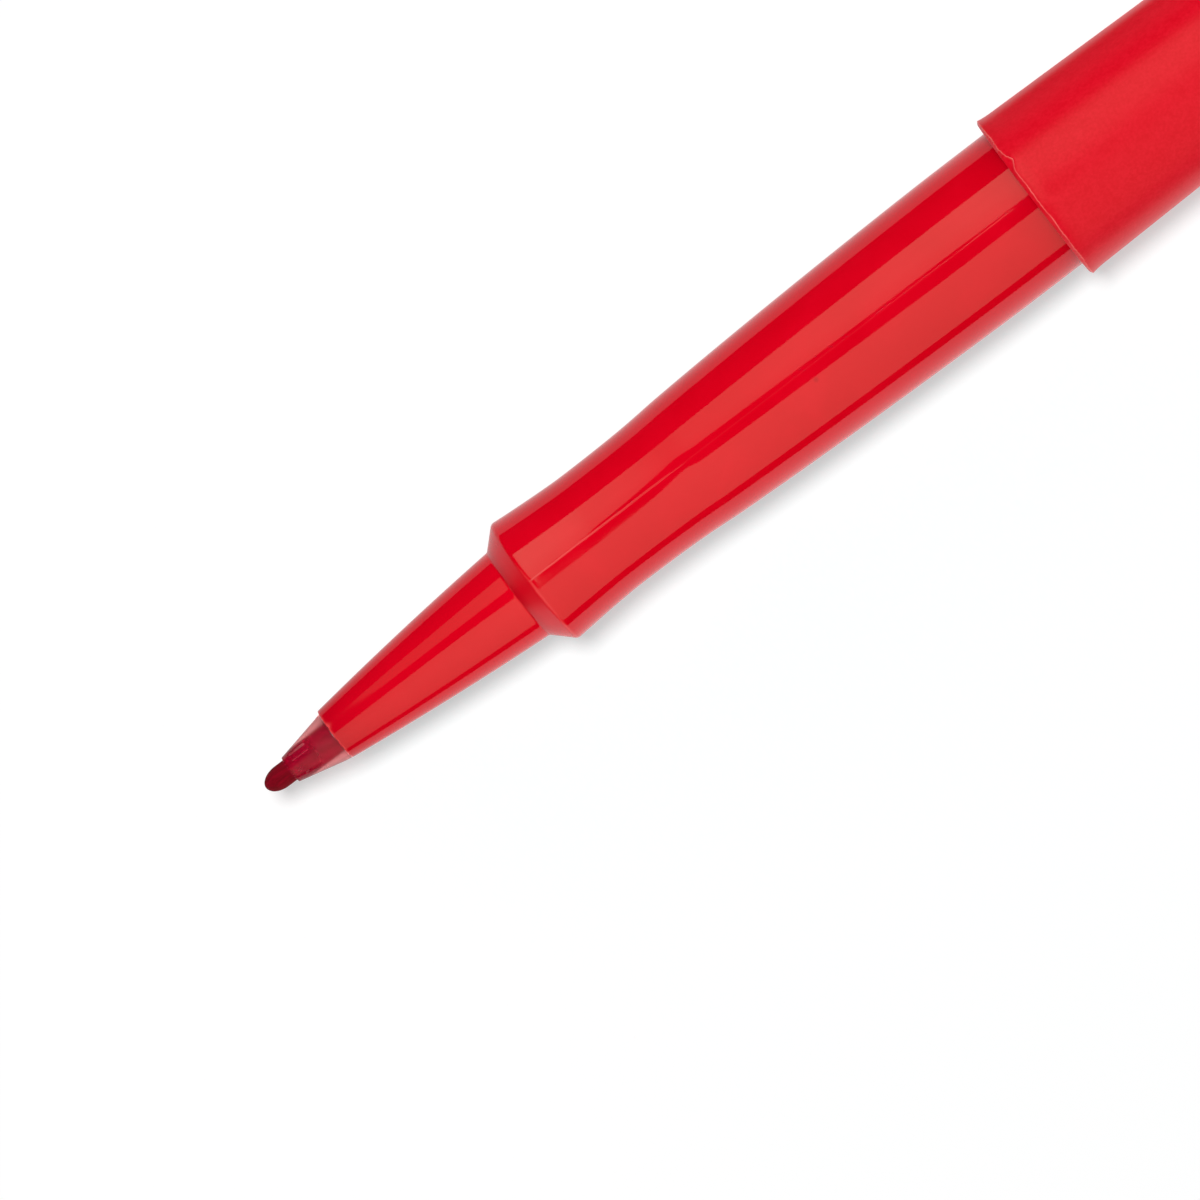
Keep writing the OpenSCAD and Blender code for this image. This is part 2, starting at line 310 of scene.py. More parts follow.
def front_outline():
    """Outline of the front section: nose, sloped shoulder, waisted grip, land, tenon and hollow."""
    shares = np.concatenate([np.linspace(0.006, 0.035, 8), np.linspace(0.05, 0.99, 54)])
    nose = nose_line(shares)
    nose_tip = np.array([NOSE, NOSE_R])
    nose_base = np.array([NOSE_BASE, NOSE_BASE_R])
    shoulder = np.array([SHOULDER, SHOULDER_R])
    fall = np.array([1.0, -SHOULDER_FALL])
    climb = np.array([1.0, SWELL_CLIMB])
    waist = np.array([WAIST, WAIST_R])
    swell = np.array([SWELL, SWELL_R])
    land = np.array([LAND, LAND_R])
    along = np.array([1.0, 0.0])
    grip_start = shoulder + SHOULDER_SOFT * fall
    to_waist = WAIST - grip_start[0]
    to_swell = SWELL - WAIST
    to_land = LAND - SWELL
    rest = cubic(grip_start, grip_start + 0.25 * to_waist * fall, waist - 0.2 * to_waist * along, waist, 26)
    rise = cubic(waist, waist + 0.68 * to_swell * along, swell - 0.21 * to_swell * climb, swell, 26)
    grip = cubic(swell, swell + 0.4 * to_land * climb, land - 0.08 * to_land * along, land, 70)
    rim = rounded((NOSE, NOSE_BORE_R), nose_tip, nose[0], NOSE_SOFT)
    crease = rounded(nose[-1], nose_base, shoulder, CREASE_SOFT, 4)
    edge = rounded(nose_base, shoulder, grip_start, SHOULDER_SOFT, 8)[:-2]
    back = softened(
        [
            (MOUTH - 0.6, LAND_R),
            (MOUTH, LAND_R),
            (MOUTH, TENON_R),
            (TENON_END, TENON_R),
            (TENON_END, 4.2),
            (29.0, 3.55),
            (21.0, 2.4),
            (13.0, NOSE_BORE_R),
            (NOSE, NOSE_BORE_R),
        ],
        [0.03, 0.0, 0.4, 0.0, 0.0, 0.0, 0.0],
    )
    slope = split([crease[-1], edge[0]], 0.08)[1:-1]
    flat = split([grip[-1], back[0]], 0.3)[1:-1]
    parts = [rim[1:-1], nose, crease[1:], slope, edge, rest, rise[1:], grip[1:], flat, back]
    return np.vstack([np.array([[NOSE, NOSE_BORE_R]]), *parts])


def front_shape(z, r, turn):
    """Mould seams and a worn rim on the front section.

    A seam is a low roof-shaped ridge where the parting plane y = SEAM_Y cuts the grip, proud at
    the waist and faint behind it. The nose's rim is a little ragged, with one nick.
    """
    wander = 0.012 * np.sin(z * 0.9) + 0.008 * np.sin(z * 2.3 + 1.0)
    height = SEAM_FADED + (SEAM_HEIGHT - SEAM_FADED) * falling(z, SEAM_FADES, 1.3)
    on_grip = (z > SHOULDER + 0.1) & (z < SEAM_END) & (r > GRIP_LEAST_R)
    away = (r * np.sin(turn) - SEAM_Y + wander) / SEAM_HALF_W
    ridge = np.where(on_grip, height * np.maximum(1 - np.abs(away), 0.0), 0.0)
    at_rim = np.exp(-np.maximum(z - NOSE, 0.0) / 0.12) * (r > NOSE_LEAST_R)
    ragged = 0.012 * np.sin(7 * turn + 0.4) + 0.01 * np.sin(13 * turn + 2.0) + 0.008 * np.sin(31 * turn)
    nick = 0.07 * bell(turn_between(turn, NICK_TURN) * NOSE_R, 0.12)
    return z + at_rim * (np.abs(ragged) + nick), r + ridge


def make_front_section(material):
    """The glossy front section.

    Its attributes mark the satin slope of the shoulder with a rubbed patch beside the seam, the
    pale edges (a pale band at the nose's rim, and painted highlights along the seam and one side of
    the shoulder's edge), the thin wall at the nose's end, and painted shade in the crease, a little
    over the back of the grip and most by the barrel's lip.
    """
    outline = front_outline()
    turns = turn_steps(216, SEAM_TURNS, math.radians(1.6), 29)
    z, r = outline[:, :1], outline[:, 1:]
    slope = (z > NOSE_BASE - 0.02) & (z < SHOULDER - 0.02) & (r > 3.3)
    on_grip = (z > SHOULDER) * (r > GRIP_LEAST_R)
    rubbed = 0.5 * bell(turns + 0.08, 0.08) * on_grip * falling(z, 31.5, 0.6)
    chipped = bell(turns - 0.38, 0.13)
    frayed = 0.4 + 0.35 * np.sin(4 * turns + 1.2) ** 2 + 0.15 * np.sin(19 * turns)
    nose_rim = bell(np.maximum(z - NOSE, 0.0), 0.1 + 0.14 * chipped) * (r > NOSE_LEAST_R)
    nose_rim = nose_rim * np.clip(frayed + 0.5 * chipped, 0.0, 1.0)
    # Painted highlight: a pale line along one side of the shoulder's edge only.
    shoulder_edge = bell(z - SHOULDER - 0.02, 0.07) * (r > 4.6) * falling(turns, 0.05, 0.06)
    # Painted highlight: a pale line along the seam's top, strongest at the waist.
    seam = bell(r * np.sin(turns) - SEAM_Y, 0.05) * (np.cos(turns) > 0) * on_grip
    seam = seam * (z < SEAM_END) * (0.06 + 0.42 * falling(z, 28.5, 1.2))
    behind = np.maximum(z - NOSE, 0.0)
    thin = 0.5 * np.exp(-behind / 1.6) + 0.5 * np.exp(-behind / 5.0)
    # Painted shade: darker by the barrel's lip, and a little over the back of the grip.
    ahead = np.maximum(BARREL_MOUTH - z, 0.0)
    shade = 0.52 * np.exp(-ahead) + 0.07 * np.clip((z - 40.0) / 12.0, 0.0, 1.0)
    # Painted shade in the crease at the foot of the satin slope.
    creased = 0.35 * slope * bell(z - NOSE_BASE, 0.45)
    # rim carries the pale edges and painted highlights, shade carries painted shade.
    values = {
        "satin": np.maximum(slope, rubbed),
        "rim": np.clip(nose_rim + 0.6 * shoulder_edge + seam, 0.0, 1.0),
        "thin": thin * (r > NOSE_LEAST_R),
        "shade": np.maximum(shade * (r > GRIP_LEAST_R), creased),
    }
    mesh = turned("front_section_moulding", outline, turns, front_shape, values)
    add_piece(mesh, "pen", material, "front_section")


def lip_line(mouth, side_r):
    """A mouth's lip: a small bevel to LIP_R, then a parabola that eases into the tapered side."""
    start = np.array([mouth + LIP_BEVEL, LIP_R])
    pull = np.array([mouth + 0.55, side_r])
    end = np.array([mouth + LIP_EASE, side_r])
    corners = [(mouth, LIP_R - 0.4), (mouth, LIP_R - LIP_BEVEL), start, start + 0.2 * (pull - start)]
    front = split(softened(corners, [0.02, 0.015], 3)[:-1], 0.03)
    t = np.linspace(0.06, 1.0, 14)[:, None]
    fade = (1 - t) ** 2 * start + 2 * t * (1 - t) * pull + t**2 * end
    return np.vstack([front, fade])


def barrel_side_r(z):
    """Radius of the barrel's straight taper."""
    return BARREL_MOUTH_R + (BARREL_TAIL_R - BARREL_MOUTH_R) * (z - MOUTH) / (TAIL - MOUTH)


def quarter(z, r, size, steps):
    """A round outer edge that turns from along the side to across the end."""
    angle = np.linspace(0.0, math.pi / 2, steps + 1)
    return np.stack([z + size * np.sin(angle), r - size + size * np.cos(angle)], axis=-1)


def barrel_outline():
    """Outline of the barrel from the floor of its hollow, out over the mouth, to its closed tail."""
    hollow = [
        (BARREL_FLOOR, 0.0),
        (BARREL_FLOOR, barrel_side_r(BARREL_FLOOR) - BARREL_WALL),
        (BARREL_STEP, barrel_side_r(BARREL_STEP) - BARREL_WALL),
        (BARREL_STEP, BARREL_BORE_R),
        (BARREL_MOUTH, BARREL_BORE_R),
    ]
    lip = lip_line(BARREL_MOUTH, barrel_side_r(BARREL_MOUTH + LIP_EASE))
    edge = TAIL - TAIL_SOFT
    tail = quarter(edge, barrel_side_r(edge), TAIL_SOFT, 10)
    side = split([lip[-1], tail[0]], 1.5)[1:-1]
    return np.vstack([split(hollow, 4.0), lip, side, tail, split([tail[-1], (TAIL, 0.0)], 0.6)[1:]])


# Nicks in the barrel's lip: turn in degrees, half width and depth
FLASH = (
    (27.0, 0.42, 0.34),
    (23.0, 0.2, 0.05),
    (31.5, 0.5, 0.07),
    (40.0, 0.3, -0.04),
    (50.0, 0.8, 0.04),
    (10.0, 0.6, 0.03),
    (-4.0, 0.5, -0.03),
    (-18.0, 0.4, 0.05),
    (-34.0, 0.5, 0.03),
    (-52.0, 0.6, 0.06),
    (-70.0, 0.8, -0.04),
    (-86.0, 0.6, -0.06),
)


def flash_at(turn):
    """How far the moulded rim is set back at each turn: fine ragged waves and a few larger nicks."""
    waves = np.random.default_rng(11)
    counts = np.arange(17, 170, 9)
    phases = waves.uniform(0, 2 * math.pi, len(counts))
    sizes = waves.uniform(0.3, 1.0, len(counts)) * 0.006
    ragged = (sizes * np.sin(turn[..., None] * counts + phases)).sum(axis=-1)
    for place, width, depth in FLASH:
        ragged = ragged + depth * bell(turn_between(turn, math.radians(place)) * LIP_R, width)
    return ragged


def barrel_shape(z, r, turn):
    """The bevel's outer edge pushed back by the mouth's ragged flash, least at the two sides."""
    at_mouth = np.clip(1.3 - (z - BARREL_MOUTH) / 0.6, 0, 1)
    outside = np.clip((r - LIP_R) / LIP_BEVEL + 1, 0, 1)
    back = np.maximum(0.13 * np.cos(turn) ** 2 - 0.07 + flash_at(turn[:1]), -0.08)
    return z + back * at_mouth * outside, r


def make_barrel(material):
    """The matte barrel with its ragged moulded lip."""
    outline = barrel_outline()
    turns = turn_steps(300, np.radians([27.0, 44.0, -52.0]), math.radians(9.0), 60)
    # Painted highlight: a pale, patchy line along the lip's outer edge, given to the rim attribute.
    edge = bell(outline[:, :1] - BARREL_MOUTH - LIP_BEVEL, 0.03) * (outline[:, 1:] > LIP_R - 0.06)
    patchy = 0.7 + 0.3 * np.sin(9 * turns + 0.7) * np.sin(23 * turns)
    values = {"rim": edge * patchy}
    mesh = turned("barrel_moulding", outline, turns, barrel_shape, values)
    add_piece(mesh, "pen", material, "barrel")


def tip_aside(z):
    """How far the tilted nib and guard lie to one side, easing to nothing inside the nose."""
    return (TIP_ASIDE + TIP_TILT * z) * np.clip((NOSE + 1.5 - z) / 2.0, 0.0, 1.0)


def nib_r(z):
    """Radius of the nib's rod, which is swollen with ink as far as the guard's end."""
    return NIB_R + (NIB_BARE_R - NIB_R) * np.clip(GUARD_END + 1.0 - z, 0.0, 1.0)


def make_nib(material):
    """The fibre nib: a round bullet end that leans a little, then a plain rod."""
    angle = np.linspace(0.0, math.pi / 2, 25)
    end = np.stack([NIB_ROUND * (1 - np.cos(angle)), NIB_R * np.sin(angle)], axis=-1)
    rod = softened([end[-1], (NIB_END, NIB_R), (NIB_END, 0.0)], [0.35])
    outline = np.vstack([end, split(rod, 0.5)[1:]])

    def lean(z, r, turn):
        bulge = NIB_LEAN * np.clip(1 - z / 2.0, 0, 1) ** 2
        return z, r * nib_r(z) / NIB_R * (1 + bulge * np.cos(turn + math.pi / 2))

    mesh = turned("nib_fibre_rod", outline, turn_steps(96), lean, aside=tip_aside)
    add_piece(mesh, "pen", material, "nib")


# Grooves in the guard's cone: place across, half width, start, end and depth
GUARD_GROOVES = (
    (0.86, 0.07, 2.5, 3.95, 0.05),
    (0.4, 0.035, 2.5, 3.95, 0.035),
    (-0.37, 0.04, 2.45, 2.9, 0.035),
    (-0.77, 0.055, 2.75, 3.15, 0.03),
)


def guard_streaks(z, r, turn):
    """Each groove's share of its full depth over the guard: 1 along its middle, 0 away from it."""
    on_cone = (z < NOSE) & (r > 0.9)
    shares = []
    for place, width, start, end, _ in GUARD_GROOVES:
        across = bell(r * np.sin(turn) - place, width)
        along = np.clip((z - start) / 0.15, 0, 1) * np.clip((end - z) / 0.15, 0, 1)
        shares.append(np.where(on_cone & (np.cos(turn) > 0), along * across, 0.0))
    return shares


def guard_shape(z, r, turn):
    """Flutes along the guard's shank, and fine moulded grooves along the front of its cone."""
    away = np.min([np.abs(turn_between(turn, p)) for p in FLUTE_TURNS], axis=0) * GUARD_SHANK_R
    flute = np.sqrt(np.maximum(FLUTE_R**2 - away**2, 0.0))
    cut = np.where((z > NOSE + 0.1) & (r > 1.0), flute, 0.0)
    for share, groove in zip(guard_streaks(z, r, turn), GUARD_GROOVES):
        cut = cut + groove[-1] * share
    return z, r - cut


def make_guard(material):
    """The clear guard: a thin-lipped cone, and a fluted shank inside the nose."""
    base = NOSE + GUARD_SUNK
    outline = softened(
        [
            (GUARD_FRONT, GUARD_BORE_R),
            (GUARD_FRONT, GUARD_FRONT_R),
            (base, GUARD_BASE_R),
            (base, GUARD_SHANK_R),
            (GUARD_END, GUARD_SHANK_R),
            (GUARD_END, GUARD_BORE_R),
            (GUARD_FRONT, GUARD_BORE_R),
        ],
        [0.05, 0.0, 0.0, 0.3, 0.0],
    )
    behind = int(np.argmax(outline[:, 0] > base))
    cone = split(outline[:behind], 0.08)
    shank = split(outline[behind - 1 :], 0.3)
    outline = np.vstack([cone, shank[1:]])
    turns = turn_steps(144, [0.0], math.radians(62.0), 160)
    values = {"streak": np.max(guard_streaks(outline[:, :1], outline[:, 1:], turns), axis=0)}
    mesh = turned("point_guard_cone", outline, turns, guard_shape, values, aside=tip_aside)
    add_piece(mesh, "pen", material, "point_guard")


def cap_side_r(c):
    """Radius of the cap's straight taper, c from its mouth."""
    return BARREL_MOUTH_R + (CROWN_R - BARREL_MOUTH_R) * c / CAP_LEN


def cap_outline():
    """Outline of the cap from the floor of its hollow, out over the mouth, to its crown."""
    hollow = [
        (64.85, 0.0),
        (64.85, 4.51),
        (42.0, 4.51),
        (42.0, 4.8),
        (39.5, 4.844),
        (38.8, 4.62),
        (38.1, 4.869),
        (7.0, CAP_BORE_R),
        (0.15, CAP_BORE_R),
        (0.0, CAP_BORE_R + 0.15),
    ]
    lip = lip_line(0.0, cap_side_r(LIP_EASE))
    edge = CAP_LEN - CROWN_SOFT
    crown = quarter(edge, cap_side_r(edge), CROWN_SOFT, 12)
    side = split([lip[-1], crown[0]], 1.5)[1:-1]
    top = split([crown[-1], (CAP_LEN, 0.0)], 0.6)[1:]
    line = np.vstack([split(hollow, 3.0), lip, side, crown, top])
    return line + np.array([POSTED, 0.0])


def make_cap(material):
    """The cap, posted on the barrel's tail."""
    outline = cap_outline()
    wear_and_edge_highlight = np.exp(-np.maximum(outline[:, 0] - POSTED, 0) / 0.12) * (outline[:, 1] > 6.0)
    mesh = turned("cap_moulding", outline, turn_steps(240), None, {"rim": wear_and_edge_highlight[:, None]})
    add_piece(mesh, "cap", material, "cap_shell")


def on_clip(out, side, c):
    """Places of points out from the cap's axis towards the clip, to its side, and c from the mouth."""
    across = out * math.sin(CLIP_TURN) + side * math.cos(CLIP_TURN)
    up = out * math.cos(CLIP_TURN) - side * math.sin(CLIP_TURN)
    return on_marker(POSTED + c, across, up)


def squared(angle, power):
    """A rounded square once round: cosine and sine drawn out towards the corners by power."""
    cosine, sine = np.cos(angle), np.sin(angle)
    pull = 2.0 / power
    return np.sign(cosine) * np.abs(cosine) ** pull, np.sign(sine) * np.abs(sine) ** pull


def make_clip(material):
    """The clip's arm: a rounded square section that narrows to a round end, with a ball under it.

    Width and thickness run straight from root to tip and close over the last stretch of each end.
    Under the bump the lower face drops to the ball's surface.
    """
    free = CLIP_ROOT - CLIP_LEN
    share = np.linspace(0.0, 1.0, 90)[:, None]
    c = CLIP_ROOT - CLIP_LEN * (share - 0.07 * np.sin(4 * math.pi * share) / (4 * math.pi))
    taper = (CLIP_ROOT - c) / CLIP_LEN
    half_w = (CLIP_W + (CLIP_END_W - CLIP_W) * taper) / 2
    half_t = (CLIP_THICK + (CLIP_END_THICK - CLIP_THICK) * taper) / 2
    to_tip = np.clip(1 - (c - free) / (CLIP_END_W / 2), 0, 1)
    to_root = np.clip(1 - (CLIP_ROOT - c) / CLIP_ROOT_SOFT, 0, 1)
    drawn_in = CLIP_ROOT_SOFT * (1 - np.sqrt(1 - to_root**2))
    half_w = half_w * np.sqrt(1 - to_tip**2) - drawn_in
    half_t = half_t * (1 - to_tip**6) ** (1 / 4) - drawn_in
    middle = CLIP_RISE - (CLIP_THICK + (CLIP_END_THICK - CLIP_THICK) * taper) / 2
    wide, thick = squared(np.linspace(0.0, 2 * math.pi, 72, endpoint=False)[None, :], 5.0)
    side = half_w * wide
    out = middle + half_t * thick
    ball_low = cap_side_r(BUMP_AT) + BUMP_GAP
    drop = BUMP_BALL**2 - side**2 - (c - BUMP_AT) ** 2
    ball = ball_low + BUMP_BALL - np.sqrt(np.maximum(drop, 0.0))
    under = (thick < 0) & (drop > 0)
    out = np.where(under, np.minimum(out, ball), out)
    grid = on_clip(out, side, np.broadcast_to(c, out.shape))[1:-1]
    ends = {"first": grid[0].mean(axis=0), "last": grid[-1].mean(axis=0)}
    mesh = grid_mesh("pocket_clip_arm", grid, **ends)
    add_piece(mesh, "clip", material, "pocket_clip")


def block(name, outs, sides, starts, ends, power):
    """A stack of rounded squares: row i lies outs[i] from the cap's axis, is 2 x sides[i] wide
    and reaches from starts[i] to ends[i] along the cap."""
    wide, long = squared(np.linspace(0.0, 2 * math.pi, 64, endpoint=False)[None, :], power)
    outs, sides, starts, ends = (np.asarray(v, float)[:, None] for v in (outs, sides, starts, ends))
    c = (starts + ends) / 2 + (ends - starts) / 2 * long
    grid = on_clip(np.broadcast_to(outs, c.shape), sides * wide, c)
    return grid_mesh(name, grid, first=grid[0].mean(axis=0), last=grid[-1].mean(axis=0))


def make_bracket(material):
    """The bracket under the clip's root: a block with a sloped front and a pocket for the clip's tab."""
    mesh = block(
        "cap_bracket",
        [4.95, 6.2, 6.5, 6.58, 6.6, 6.6, 6.55, 5.6],
        [1.7, 1.7, 1.7, 1.66, 1.58, 1.34, 1.3, 1.3],
        [57.6, 58.35, 58.55, 58.65, 58.78, 60.36, 60.4, 60.4],
        [64.8, 64.8, 64.8, 64.76, 64.68, 63.64, 63.6, 63.6],
        12.0,
    )
    add_piece(mesh, "cap", material)


def make_tab(material):
    """The clip's tab, which stands in the bracket's pocket."""
    mesh = block(
        "clip_tab",
        [5.78, 5.8, 5.9, 7.2],
        [1.0, 1.12, 1.2, 1.2],
        [60.8, 60.68, 60.6, 60.6],
        [63.2, 63.32, 63.4, 63.4],
        12.0,
    )
    add_piece(mesh, "clip", material)


def new_material(name):
    """An empty node material, its node tree and its output."""
    material = bpy.data.materials.new(name)
    material.use_nodes = True
    tree = material.node_tree
    tree.nodes.clear()
    return material, tree, tree.nodes.new("ShaderNodeOutputMaterial")


def add_node(tree, kind, settings=None, **inputs):
    """A node with its settings, and its inputs set to values or joined to other nodes' outputs."""
    node = tree.nodes.new(kind)
    for key, value in (settings or {}).items():
        setattr(node, key, value)
    for key, value in inputs.items():
        socket = node.inputs[int(key[1:])] if key[1:].isdigit() else node.inputs[key.replace("_", " ")]
        if isinstance(value, bpy.types.NodeSocket):
            tree.links.new(value, socket)
        else:
            socket.default_value = value
    return node


def maths(tree, operation, *values, clamp=False):
    """The result of a math node over values or other nodes' outputs."""
    settings = {"operation": operation, "use_clamp": clamp}
    inputs = {f"_{place}": value for place, value in enumerate(values)}
    return add_node(tree, "ShaderNodeMath", settings, **inputs).outputs[0]


def product(tree, *values):
    """Values multiplied together."""
    result = values[0]
    for value in values[1:]:
        result = maths(tree, "MULTIPLY", result, value)
    return result


def ramp(tree, value, start, end, low=0.0, high=1.0):
    """A value that runs from low at start to high at end, and stays level outside."""
    span = {"From_Min": start, "From_Max": end, "To_Min": low, "To_Max": high}
    return add_node(tree, "ShaderNodeMapRange", Value=value, **span).outputs["Result"]


def mix_value(tree, share, first, second):
    """A value between two, by a share that changes over the surface."""
    node = add_node(tree, "ShaderNodeMix", {"data_type": "FLOAT"}, Factor=share, A=first, B=second)
    return node.outputs["Result"]


def mix_colour(tree, share, first, second):
    """A colour between two, by a share that changes over the surface."""
    node = add_node(tree, "ShaderNodeMix", {"data_type": "RGBA"}, Factor=share, _6=first, _7=second)
    return node.outputs[2]


def object_place(tree):
    """The place on the object, in metres."""
    return add_node(tree, "ShaderNodeTexCoord").outputs["Object"]


def axes_of(tree, where):
    """The X, Y and Z of a place."""
    return add_node(tree, "ShaderNodeSeparateXYZ", Vector=where).outputs


def attribute(tree, name):
    """A value that the mesh carries."""
    return add_node(tree, "ShaderNodeAttribute", {"attribute_name": name}).outputs["Fac"]


def noise(tree, where, scale, detail, stretch=(1.0, 1.0, 1.0), distortion=0.0):
    """Noise from 0 to 1. A stretch below 1 draws it out along that axis."""
    drawn = add_node(tree, "ShaderNodeMapping", Vector=where, Scale=stretch).outputs["Vector"]
    inputs = {"Scale": scale, "Detail": detail, "Distortion": distortion}
    return add_node(tree, "ShaderNodeTexNoise", Vector=drawn, **inputs).outputs["Fac"]


def bumped(tree, height, strength, distance):
    """A normal that follows a height."""
    node = add_node(tree, "ShaderNodeBump", Height=height, Strength=strength, Distance=distance)
    return node.outputs["Normal"]


def cover(tree, output, **inputs):
    """Gives the material a Principled surface with these inputs."""
    shader = add_node(tree, "ShaderNodeBsdfPrincipled", **inputs)
    tree.links.new(shader.outputs["BSDF"], output.inputs["Surface"])


def new_group(name, takes, gives):
    """A shader node group that takes named values, each with its default, and gives one value."""
    group = bpy.data.node_groups.new(name, "ShaderNodeTree")
    for label, value in takes.items():
        socket = group.interface.new_socket(label, in_out="INPUT", socket_type="NodeSocketFloat")
        socket.default_value = value
    group.interface.new_socket(gives, in_out="OUTPUT", socket_type="NodeSocketFloat")
    return group, group.nodes.new("NodeGroupInput").outputs, group.nodes.new("NodeGroupOutput").inputs


def grain_group():
    """Fine grain of a moulded surface: two sizes of noise, as a height."""
    group, taken, given = new_group("moulded_grain", {"Scale": 8000.0, "Coarse": 0.4}, "Height")
    where = object_place(group)
    fine = noise(group, where, taken["Scale"], 2.0)
    wide = noise(group, where, product(group, taken["Scale"], 0.31), 1.0)
    group.links.new(mix_value(group, taken["Coarse"], fine, wide), given["Height"])
    return group


def handling_group():
    """Marks of handling: broad smudges."""
    group, taken, given = new_group("handling_marks", {"Scale": 180.0}, "Smudge")
    broad = noise(group, object_place(group), taken["Scale"], 3.0, distortion=0.6)
    group.links.new(ramp(group, broad, 0.42, 0.7), given["Smudge"])
    return group


def put_group(tree, group, gives, **inputs):
    """What a node group gives in a material, for the material's own values."""
    return add_node(tree, "ShaderNodeGroup", {"node_tree": group}, **inputs).outputs[gives]


def scaled(tree, value, low, high):
    """A value from 0 to 1 spread over low to high."""
    return ramp(tree, value, 0.0, 1.0, low, high)


def gloss_material(grain, handling):
    """Polished red moulding: deep colour, clear reflections, a satin slope with fine turned rings at
    the shoulder, pale edges that are partly painted highlight, a darker thin nose, painted shade in
    the crease and by the barrel's lip, and one small pit painted as a dark, rougher spot."""
    material, tree, output = new_material("gloss_red")
    smudge = put_group(tree, handling, "Smudge", Scale=210.0)
    skin = put_group(tree, grain, "Height", Scale=5200.0, Coarse=0.5)
    where = object_place(tree)
    rings = noise(tree, where, 9000.0, 2.0, (1.0, 0.03, 0.03))
    # The pit is a darker, rougher spot with no dent in the shape: painted shade.
    to_pit = add_node(tree, "ShaderNodeVectorMath", {"operation": "DISTANCE"}, _0=where, _1=PIT)
    pit = ramp(tree, to_pit.outputs["Value"], 0.00026, 0.0001)
    plain = mix_colour(tree, smudge, srgb(202, 1, 25), srgb(207, 2, 28))
    thinned = mix_colour(tree, attribute(tree, "thin"), plain, srgb(182, 1, 25))
    # Painted shade from the shade attribute: in the crease and by the barrel's lip.
    shaded = mix_colour(tree, attribute(tree, "shade"), thinned, srgb(150, 1, 18))
    pit_shade_painted = mix_colour(tree, scaled(tree, pit, 0.0, 0.9), shaded, srgb(176, 2, 24))
    # Pale edges: a pale band at the nose's rim, and painted highlights along the seam and shoulder edge.
    wear_and_edge_highlight = scaled(tree, attribute(tree, "rim"), 0.0, 0.75)
    polish = scaled(tree, smudge, 0.04, 0.07)
    turned_rough = scaled(tree, rings, 0.08, 0.34)
    rough = mix_value(tree, attribute(tree, "satin"), polish, turned_rough)
    cover(
        tree,
        output,
        Base_Color=mix_colour(tree, wear_and_edge_highlight, pit_shade_painted, srgb(228, 84, 86)),
        Roughness=maths(tree, "MAXIMUM", rough, scaled(tree, pit, 0.0, 0.2)),
        IOR=1.5,
        Normal=bumped(tree, skin, 0.04, 0.00002),
    )
    return material


def matte_material(grain, handling):
    """Fine-grained matte red moulding, a little paler in its grain and along its rim: a painted highlight
    at the barrel's lip, and wear at the cap's mouth.
    """
    material, tree, output = new_material("matte_red")
    skin = put_group(tree, grain, "Height", Scale=4800.0, Coarse=0.25)
    smudge = put_group(tree, handling, "Smudge", Scale=120.0)
    plain = mix_colour(tree, smudge, srgb(198, 1, 27), srgb(202, 1, 28))
    flecked = mix_colour(tree, ramp(tree, skin, 0.36, 0.66), plain, srgb(208, 15, 38))
    # The rim is a painted highlight on the barrel's lip and wear on the cap's mouth.
    wear_and_edge_highlight = scaled(tree, attribute(tree, "rim"), 0.0, 0.75)
    cover(
        tree,
        output,
        Base_Color=mix_colour(tree, wear_and_edge_highlight, flecked, srgb(240, 125, 120)),
        Roughness=scaled(tree, smudge, 0.29, 0.33),
        IOR=1.5,
        Specular_IOR_Level=0.24,
        Normal=bumped(tree, skin, 0.06, 0.00006),
    )
    return material


def strands_of(tree, where, stretch):
    """Pressed fibres along the marker: their height, and the share of the paler ones."""
    height = noise(tree, where, 7000.0, 3.0, (stretch, 1.0, 1.0))
    return height, ramp(tree, height, 0.35, 0.65)


def fibre_material(name, pale, dark, rough, stretch):
    """Pressed fibres that run along the marker: streaks of two colours with a soft bump."""
    material, tree, output = new_material(name)
    height, share = strands_of(tree, object_place(tree), stretch)
    cover(
        tree,
        output,
        Base_Color=mix_colour(tree, share, dark, pale),
        Roughness=scaled(tree, share, rough, rough + 0.1),
        Normal=bumped(tree, height, 0.3, 0.00004),
    )
    return material


def nib_material():
    """The nib's pressed fibre: soaked and dark where it is bare; inside the guard it is painted paler, as
    painted light that makes up for the light the guard holds back, and paler still down its flanks, most on
    the -Y side, as painted light that evens out its shading.
    """
    material, tree, output = new_material("nib_fibre")
    where = object_place(tree)
    height, share = strands_of(tree, where, 0.12)
    axes = axes_of(tree, where)
    start = (GUARD_FRONT - TOTAL_LEN / 2) * MM
    inside = ramp(tree, axes["X"], start - 0.0001, start + 0.0002)
    # Painted light: the flanks inside the guard are paler, most on the -Y side, to even out their shading.
    off = maths(tree, "ADD", axes["Y"], -tip_aside(4.0) * MM)
    near_flank = ramp(tree, off, -0.0003, -0.00075)
    far_flank = ramp(tree, off, 0.0004, 0.0008, 0.0, 0.5)
    deeper = ramp(tree, axes["X"], start + 0.0008, start + 0.002, 0.3)
    flank_light_painted = product(tree, maths(tree, "ADD", near_flank, far_flank), deeper)
    bare = mix_colour(tree, share, srgb(98, 1, 16), srgb(122, 3, 25))
    # Painted light: the colour inside the guard is paler than the bare one, making up for light the guard
    # holds back.
    middle = mix_colour(tree, share, srgb(140, 5, 60), srgb(150, 8, 66))
    held_light_painted = mix_colour(tree, flank_light_painted, middle, srgb(188, 30, 90))
    cover(
        tree,
        output,
        Base_Color=mix_colour(tree, inside, bare, held_light_painted),
        Roughness=scaled(tree, share, 0.7, 0.8),
        Specular_IOR_Level=0.1,
        Normal=bumped(tree, height, 0.3, 0.00004),
    )
    return material


